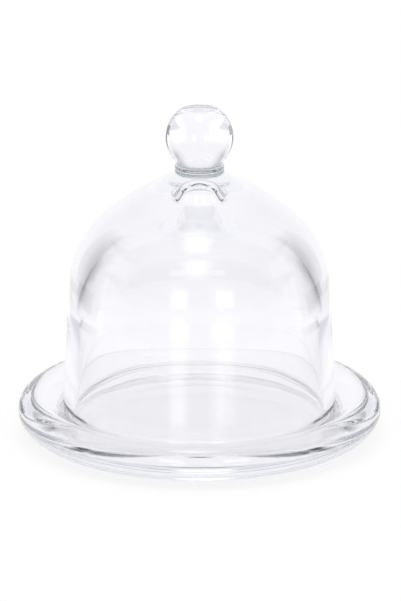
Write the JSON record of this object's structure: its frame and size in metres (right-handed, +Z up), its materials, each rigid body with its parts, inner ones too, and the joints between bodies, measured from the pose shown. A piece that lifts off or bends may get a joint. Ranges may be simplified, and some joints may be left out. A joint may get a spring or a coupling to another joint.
{
  "type": "cupcake saver",
  "caption": "Clear glass bell with a ball knob that lifts off a round glass plate with a flat well and a fat rolled rim, to show and cover a cupcake.",
  "frame": {"origin": "centre of the foot ring, on the table that the plate stands on", "axes": "+Z up along the axis that every piece is round about; -Y towards the viewer of the picture, +X to the viewer's right"},
  "size_m": [0.1396, 0.1396, 0.1275],
  "materials": {
    "pressed_glass": "clear, fire polished, with a faint grey-green tint through its thickness",
    "blown_glass": "clear, smooth"
  },
  "bodies": {
    "base": {"plate": "pressed_glass"},
    "cover": {"dome": "blown_glass", "knob_collar": "blown_glass", "knob": "blown_glass"}
  },
  "joints": [
    {"name": "cover_lift", "type": "slide", "parent": "base", "child": "cover", "axis": [0, 0, 1], "range_m": [0, 0.13]}
  ]
}
